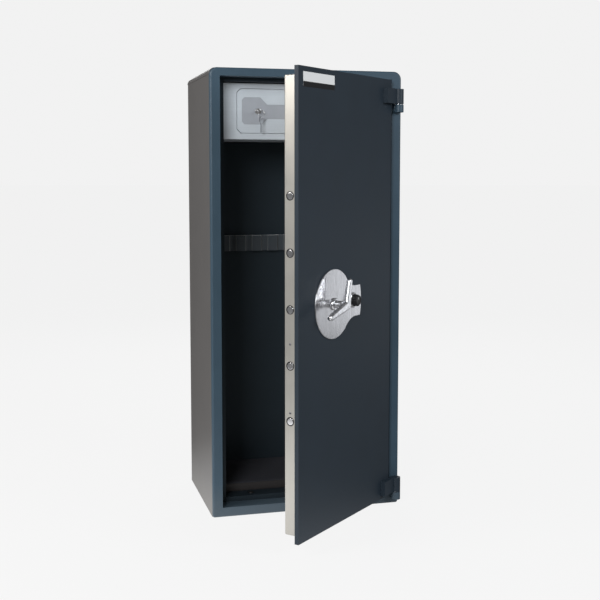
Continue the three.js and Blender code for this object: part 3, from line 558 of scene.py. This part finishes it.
def cover_screws():
    """Button-head screws with a round socket."""
    for k in range(COVER_SCREW_COUNT):
        node = f"cover_screw_{k + 1}"
        low, high = local_box(node, DOOR)
        radius = (high.x - low.x) / 2
        top = high.y
        seat = top - 0.002
        profile = [
            (0, low.y),
            (radius / 2, low.y),
            (radius / 2, seat),
            (radius, seat),
            (radius * 0.97, seat + 0.0006),
            (radius * 0.8, seat + 0.0015),
            (radius * 0.55, top),
            (radius * 0.5, top - 0.0002),
            (radius * 0.46, top - 0.0014),
            (0, top - 0.0016),
        ]
        bm = moved(lathe(profile, 36), (low.x + high.x) / 2, 0, (low.z + high.z) / 2)
        put(f"{node}_turned", bm, "door", "dark_steel", [node], DOOR)


def edge_screws():
    """Small pan-head screws with a round recess, in the cover's free edge."""
    for k in range(EDGE_SCREW_COUNT):
        node = f"edge_screw_{k + 1}"
        low, high = local_box(node, DOOR)
        radius = (high.z - low.z) / 2
        head = low.x
        seat = head + 0.0014
        profile = [
            (0, head + 0.0007),
            (radius * 0.2, head + 0.0006),
            (radius * 0.3, head),
            (radius * 0.7, head + 0.0002),
            (radius * 0.95, head + 0.0008),
            (radius, seat),
            (radius / 2, seat),
            (radius / 2, high.x),
            (0, high.x),
        ]
        bm = moved(lathe(profile, 32, "x"), 0, (low.y + high.y) / 2, (low.z + high.z) / 2)
        put(f"{node}_turned", bm, "door", "dark_steel", [node], DOOR)


def label():
    """A blank two-tone film label."""
    low, high = local_box("label_plate", DOOR)
    band_share = 0.36
    split = low.z + band_share * (high.z - low.z)
    back = high.y
    film = rounded_rectangle(low.x, high.x, low.z, high.z, 0.0015)
    bm = plate(film, [(0, back), (0, back - 0.0003), (0.0002, back - 0.0004)])
    put("label_film", bm, "door", "label_white", ["label_plate"], DOOR)
    band = rounded_rectangle(low.x, high.x, low.z, split, 0.0012)
    bm = plate(band, [(0, back - 0.0003), (0, back - 0.0005), (0.0001, back - 0.0006)])
    put("label_band", bm, "door", "label_white", axes=DOOR, material=LABEL_BLACK)


# ---------------------------------------------------------------- boltwork
def locking_bolts():
    for k in range(BOLT_COUNT):
        node = f"locking_bolt_{k + 1}"
        low, high = local_box(node, DOOR)
        radius = (high.z - low.z) / 2
        shank = radius * 0.545
        shank_length = 0.0313
        shoulder = high.x - shank_length
        nose = []
        for j in range(1, 6):
            turn = pi * j / 10
            nose.append((radius - 0.0012 * (1 - sin(turn)) - 0.0003, low.x + 0.0016 * (1 - cos(turn))))
        profile = [
            (0, low.x),
            (radius - 0.0022, low.x),
            *nose,
            (radius, low.x + 0.0024),
            (radius, shoulder - 0.0008),
            (radius - 0.0008, shoulder),
            (shank, shoulder),
            (shank, high.x - 0.0006),
            (shank - 0.0006, high.x),
            (0, high.x),
        ]
        bm = moved(lathe(profile, 56, "x"), 0, (low.y + high.y) / 2, (low.z + high.z) / 2)
        put(f"{node}_turned", bm, "boltwork", "bright_steel", [node], DOOR)
    refine("bolt_carrier", 0.001, 2, radians(40))
    refine("lock_bolt", 0.0008, 2)


# ---------------------------------------------------------------- escutcheon, handle and knob
HUB = DOOR.inverted() @ Vector(JOINTS["handle_turn"]["pos_m"])
LOCK = DOOR.inverted() @ Vector(JOINTS["lock_knob_turn"]["pos_m"])


def quadratic(start, control, end, steps):
    """Points on a quadratic curve, without its first point."""
    points = []
    for k in range(1, steps + 1):
        t = k / steps
        points.append(
            tuple(
                (1 - t) ** 2 * start[j] + 2 * t * (1 - t) * control[j] + t * t * end[j]
                for j in range(2)
            )
        )
    return points


def escutcheon():
    """A disc with a tab towards the hinges, joined by hollow curves, with a rolled edge."""
    low, high = local_box("escutcheon", DOOR)
    radius = HUB.x - low.x
    fork_angle = 48
    fork_x = HUB.x + radius * cos(radians(fork_angle))
    fork_z = HUB.z + radius * sin(radians(fork_angle))
    hollow_x = fork_x + 0.028
    tab_x = fork_x + 0.062
    below = HUB.z - 0.053
    above = HUB.z + 0.048
    corner_x = high.x - 0.0095
    side_x = high.x - 0.0265
    crown = (high.x + 0.0035, HUB.z - 0.002)
    outline = arc(HUB.x, HUB.z, radius, fork_angle, 360 - fork_angle, 96)
    outline += quadratic(outline[-1], (hollow_x, below), (tab_x, below), 16)
    outline += quadratic((tab_x, below), (side_x, below), (corner_x, below), 4)
    outline += quadratic((corner_x, below), crown, (corner_x, above), 16)
    outline += quadratic((corner_x, above), (side_x, above), (tab_x, above), 4)
    outline += quadratic((tab_x, above), (hollow_x, above), (fork_x, fork_z), 16)[:-1]
    front = low.y
    levels = [
        (0.0, high.y),
        (0.0, front + 0.0016),
        (0.0003, front + 0.0007),
        (0.0010, front + 0.0001),
        (0.0018, front),
        (0.0060, front + 0.0001),
    ]
    put("escutcheon_rolled", plate(outline, levels), "door", "satin_steel", ["escutcheon"], DOOR)


def arm_outline(root, tip, length, angle):
    """A tapering arm from the hub to a round tip, turned in the X-Z plane."""
    lean = asin((root - tip) / length) * 180 / pi
    points = [
        *arc(0, 0, root, 90 - lean, 270 + lean, 20),
        *arc(length, 0, tip, -90 + lean, 90 - lean, 20),
    ]
    c, s = cos(radians(angle)), sin(radians(angle))
    return [(HUB.x + x * c - z * s, HUB.z + x * s + z * c) for x, z in points]


def baked(piece):
    """Applies a piece's modifiers to its mesh."""
    graph = bpy.context.evaluated_depsgraph_get()
    mesh = bpy.data.meshes.new_from_object(piece.evaluated_get(graph))
    piece.modifiers.clear()
    piece.data = mesh


def handle():
    """A cast lever: two flat-faced arms that flow into a neck."""
    front = local_box("handle", DOOR)[0].y
    back = front + 0.016
    whole = bmesh.new()
    upper_arm = arm_outline(root=0.0135, tip=0.0095, length=0.074, angle=79)
    lower_arm = arm_outline(root=0.0145, tip=0.009, length=0.104, angle=196)
    levels = [
        (0.0042, front),
        (0.0020, front + 0.0009),
        (0.0005, front + 0.0032),
        (0.0, front + 0.007),
        (0.0006, back - 0.0045),
        (0.0025, back - 0.0015),
        (0.0050, back),
    ]
    neck = [
        (0, front + 0.002),
        (0.0125, front + 0.003),
        (0.0150, front + 0.008),
        (0.0148, back - 0.002),
        (0.0128, back + 0.005),
        (0.0120, back + 0.012),
        (0.0125, 0.0098),
        (0, 0.0098),
    ]
    shapes = [
        plate(upper_arm, levels),
        plate(lower_arm, levels),
        moved(lathe(neck, 48), HUB.x, 0, HUB.z),
    ]
    for shape in shapes:
        part = bpy.data.meshes.new("part")
        bmesh.ops.recalc_face_normals(shape, faces=shape.faces)
        shape.to_mesh(part)
        shape.free()
        whole.from_mesh(part)
    piece = put("handle_cast", whole, "handle", "bright_steel", ["handle"], DOOR, pi, CAST_STEEL)
    piece.modifiers.clear()
    remesh = piece.modifiers.new("melt", "REMESH")
    remesh.mode = "VOXEL"
    remesh.voxel_size = 0.0009
    remesh.use_smooth_shade = True
    soften = piece.modifiers.new("soften", "SMOOTH")
    soften.factor = 0.5
    soften.iterations = 5
    baked(piece)


def collar():
    """The fixed collar that carries the handle's neck."""
    low, high = local_box("handle_collar", DOOR)
    face = local_box("escutcheon", DOOR)[0].y
    radius = (high.x - low.x) / 2
    profile = [
        (0.0130, low.y + 0.0005),
        (0.0136, low.y),
        (0.0158, low.y),
        (0.0166, low.y + 0.0005),
        (0.0182, low.y + 0.0024),
        (radius, low.y + 0.0042),
        (radius, face - 0.0008),
        (radius - 0.0004, face - 0.0003),
        (0.0130, face - 0.0003),
    ]
    bm = moved(hollow_lathe(profile), HUB.x, 0, HUB.z)
    put("handle_collar_turned", bm, "door", "bright_steel", ["handle_collar"], DOOR)


def knob():
    """A fluted black knob with a dished cap and a white pointer mark."""
    low, high = local_box("lock_knob", DOOR)
    radius = (high.z - low.z) / 2
    flutes = 8
    steps = 128
    front = low.y
    depth = 0.020

    def ring(reach, y, ripple):
        points = []
        for k in range(steps):
            turn = 2 * pi * k / steps
            r = reach + ripple * (cos(flutes * turn) - 1)
            points.append(Vector((LOCK.x + r * cos(turn), y, LOCK.z + r * sin(turn))))
        return points

    rings = [
        ring(0.0055, high.y, 0),
        ring(0.0055, front + depth + 0.002, 0),
        ring(0.0120, front + depth + 0.001, 0),
        ring(0.0165, front + depth, 0.0005),
        ring(radius - 0.0004, front + depth - 0.0008, 0.0012),
        ring(radius, front + depth - 0.002, 0.0013),
        ring(radius, front + 0.0034, 0.0013),
        ring(radius - 0.0007, front + 0.0018, 0.0012),
        ring(radius - 0.0020, front + 0.0007, 0.0009),
        ring(radius - 0.0036, front + 0.0001, 0.0003),
        ring(radius - 0.0052, front, 0),
        ring(radius - 0.0060, front + 0.0004, 0),
        ring(radius - 0.0066, front + 0.0012, 0),
        ring(0.0040, front + 0.0015, 0),
    ]
    put("lock_knob_moulded", loft(rings), "lock_knob", "black_plastic", ["lock_knob"], DOOR)
    mark = rounded_rectangle(LOCK.x - 0.0009, LOCK.x + 0.0009, LOCK.z + 0.003, LOCK.z + 0.0102, 0.0008)
    bm = plate(mark, [(0, front + 0.0018), (0, front + 0.0011), (0.0002, front + 0.0009)])
    put("lock_knob_pointer", bm, "lock_knob", "label_white", axes=DOOR)


def bezel():
    """The ring round the knob, with a rounded lip."""
    low, high = local_box("lock_bezel", DOOR)
    radius = (high.x - low.x) / 2
    profile = [
        (radius - 0.0040, low.y + 0.0006),
        (radius - 0.0036, low.y + 0.0001),
        (radius - 0.0030, low.y),
        (radius - 0.0018, low.y + 0.0003),
        (radius - 0.0006, low.y + 0.0014),
        (radius, low.y + 0.0030),
        (radius, high.y - 0.0004),
        (radius - 0.0004, high.y),
        (radius - 0.0040, high.y),
    ]
    bm = moved(hollow_lathe(profile, 72), LOCK.x, 0, LOCK.z)
    put("lock_bezel_turned", bm, "door", "bright_steel", ["lock_bezel"], DOOR)


def drive():
    low, high = local_box("handle_spindle", DOOR)
    radius = (high.x - low.x) / 2
    bm = moved(lathe(pin_profile(radius, low.y, high.y, 0.0008), 40), HUB.x, 0, HUB.z)
    put("handle_spindle_turned", bm, "handle", "dark_steel", ["handle_spindle"], DOOR)
    refine("drive_crank", 0.0006, 2, radians(40))


# ---------------------------------------------------------------- inner locker
def locker():
    refine("locker_shell", 0.0008, 2)
    refine("locker_fascia", 0.0005, 2, radians(40))
    refine("locker_door", 0.0008, 3, radians(40))
    refine("locker_inlay", 0.0002, 2)
    refine("locker_lock_case", 0.0008, 2, radians(40))
    refine("locker_bolt", 0.0008, 2)
    for place in ("upper", "lower"):
        refine(f"locker_hinge_pin_{place}", 0.0003, 2, radians(40))


def locker_lock():
    """The cylinder's flange and the plug that turns in it."""
    centre = Vector(JOINTS["locker_key_turn"]["pos_m"])
    low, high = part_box("locker_lock_body")
    radius = (high.x - low.x) / 2
    bore = 0.0064
    barrel = 0.0100
    seat = low.y + 0.0018
    profile = [
        (bore, low.y + 0.0004),
        (bore + 0.0005, low.y),
        (radius - 0.0042, low.y),
        (radius - 0.0030, low.y + 0.0004),
        (radius - 0.0022, low.y + 0.0014),
        (radius - 0.0022, seat),
        (barrel, seat),
        (barrel, high.y),
        (bore, high.y),
    ]
    bm = moved(hollow_lathe(profile), centre.x, 0, centre.z)
    put("locker_lock_flange", bm, "locker_door", "bright_steel", ["locker_lock_body"])
    low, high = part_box("locker_plug")
    radius = (high.x - low.x) / 2
    profile = [
        (0, low.y + 0.0001),
        (radius - 0.0010, low.y),
        (radius, low.y + 0.0008),
        (radius, high.y),
        (0, high.y),
    ]
    bm = moved(lathe(profile, 40), centre.x, 0, centre.z)
    put("locker_plug_turned", bm, "locker_key", "satin_steel", ["locker_plug"])


def keys():
    refine("locker_key", 0.0003, 2)
    refine("spare_key", 0.0003, 2)
    low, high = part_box("key_ring")
    wire = 0.0007
    radius = (high.z - low.z) / 2 - wire
    section = [(radius + x, y) for x, y in arc(0, 0, wire, 0, 330, 11)]
    bm = hollow_lathe(section, 72)
    away = Vector((1, -1, 0)).normalized()
    turn = Vector((0, 1, 0)).rotation_difference(away.cross(Vector((0, 0, 1)))).to_matrix()
    bmesh.ops.transform(bm, matrix=turn.to_4x4(), verts=bm.verts)
    centre = (low + high) / 2
    moved(bm, *centre)
    put("key_ring_wire", bm, "key_ring", "bright_steel", ["key_ring"])


# ---------------------------------------------------------------- stage, lights and camera
FLOOR_SIZE = 200
BRIGHT_SPOT = (-0.9, -0.5, 0)
FADE = (0.4, 1.4)
EYE = (-0.924, -3.602, 1.157)
LOOKS_DOWN = 5.32
LOOKS_RIGHT = 14.91


def studio_floor(shown, lighting):
    """A pale floor; lighting is what it gives near its bright spot and beyond the fade."""
    bpy.ops.mesh.primitive_plane_add(size=FLOOR_SIZE, location=(0, 0, 0))
    floor = bpy.context.object
    floor.name = "studio_floor"
    surface = Surface("studio_floor_paper", specular=0.0)
    surface.colour(surface.blend(surface.noise(0.4), (0.050, 0.050, 0.050), (0.053, 0.053, 0.053)))
    surface.roughness(surface.noise(0.2), 0.9, 0.98)
    surface.set("Emission Color", (1, 1, 1, 1))
    ray = surface.nodes.new("ShaderNodeLightPath")
    reach = surface.nodes.new("ShaderNodeVectorMath")
    reach.operation = "DISTANCE"
    reach.inputs[1].default_value = BRIGHT_SPOT
    surface.links.new(surface.place, reach.inputs[0])
    fading = surface.span(reach.outputs["Value"], *FADE, *lighting)
    strength = surface.nodes.new("ShaderNodeMapRange")
    strength.inputs["To Max"].default_value = shown
    surface.links.new(fading, strength.inputs["To Min"])
    surface.links.new(ray.outputs["Is Camera Ray"], strength.inputs["Value"])
    surface.links.new(strength.outputs["Result"], surface.shader.inputs["Emission Strength"])
    floor.data.materials.append(surface.material)


def surround(shown, lighting):
    """A pale surround; it lights the object less than it shows."""
    world = bpy.data.worlds.new("pale_surround")
    scene.world = world
    world.use_nodes = True
    nodes = world.node_tree.nodes
    links = world.node_tree.links
    background = nodes["Background"]
    background.inputs["Color"].default_value = (1, 1, 1, 1)
    ray = nodes.new("ShaderNodeLightPath")
    strength = nodes.new("ShaderNodeMapRange")
    strength.inputs["To Min"].default_value = lighting
    strength.inputs["To Max"].default_value = shown
    links.new(ray.outputs["Is Camera Ray"], strength.inputs["Value"])
    links.new(strength.outputs["Result"], background.inputs["Strength"])


def soft_light(name, place, target, size, power, colour):
    """A rectangular lamp at a place, turned to its target."""
    light = bpy.data.lights.new(name, "AREA")
    light.shape = "RECTANGLE"
    light.size, light.size_y = size
    light.energy = power
    light.color = colour
    lamp = bpy.data.objects.new(name, light)
    lamp.location = place
    lamp.rotation_euler = (Vector(target) - Vector(place)).to_track_quat("-Z", "Y").to_euler()
    scene.collection.objects.link(lamp)


def lights():
    soft_light("left_bank", (-3.1, -1.0, 2.55), (0, 0, 0.8), (1.6, 1.9), 70, (1.0, 0.96, 0.92))
    soft_light("front_bank", (-2.2, -3.7, 2.3), (0, 0, 0.8), (1.3, 1.3), 100, (0.95, 0.98, 1.0))
    soft_light("right_bank", (2.6, -2.8, 2.3), (0.2, -0.3, 0.8), (1.4, 1.6), 62, (0.93, 0.97, 1.0))
    soft_light("right_strip", (3.2, 0.4, 0.5), (0.1, -0.5, 0.8), (0.9, 0.8), 2.6, (0.93, 0.96, 1.0))
    soft_light("rear_bank", (0.8, 3.2, 2.6), (0, 0, 0.8), (2.4, 2.0), 45, (1.0, 1.0, 1.0))


def camera():
    data = bpy.data.cameras.new("camera")
    data.lens = 62.39
    data.sensor_width = 36
    data.shift_y = -0.05
    data.clip_end = 100
    eye = bpy.data.objects.new("camera", data)
    eye.location = EYE
    eye.rotation_euler = Euler((radians(90 - LOOKS_DOWN), 0, radians(-LOOKS_RIGHT)))
    scene.collection.objects.link(eye)
    scene.camera = eye


camera()
scene.view_settings.view_transform = "Standard"
surround(shown=0.887, lighting=0.18)
lights()
studio_floor(shown=0.87, lighting=(1.4, 0.15))
cabinet()
butt_mat()
barrel_rest()
hinges()
door_shell()
cover()
bolt_gap_shade_rings()
cover_screws()
edge_screws()
label()
locking_bolts()
escutcheon()
handle()
collar()
knob()
bezel()
drive()
locker()
locker_lock()
keys()
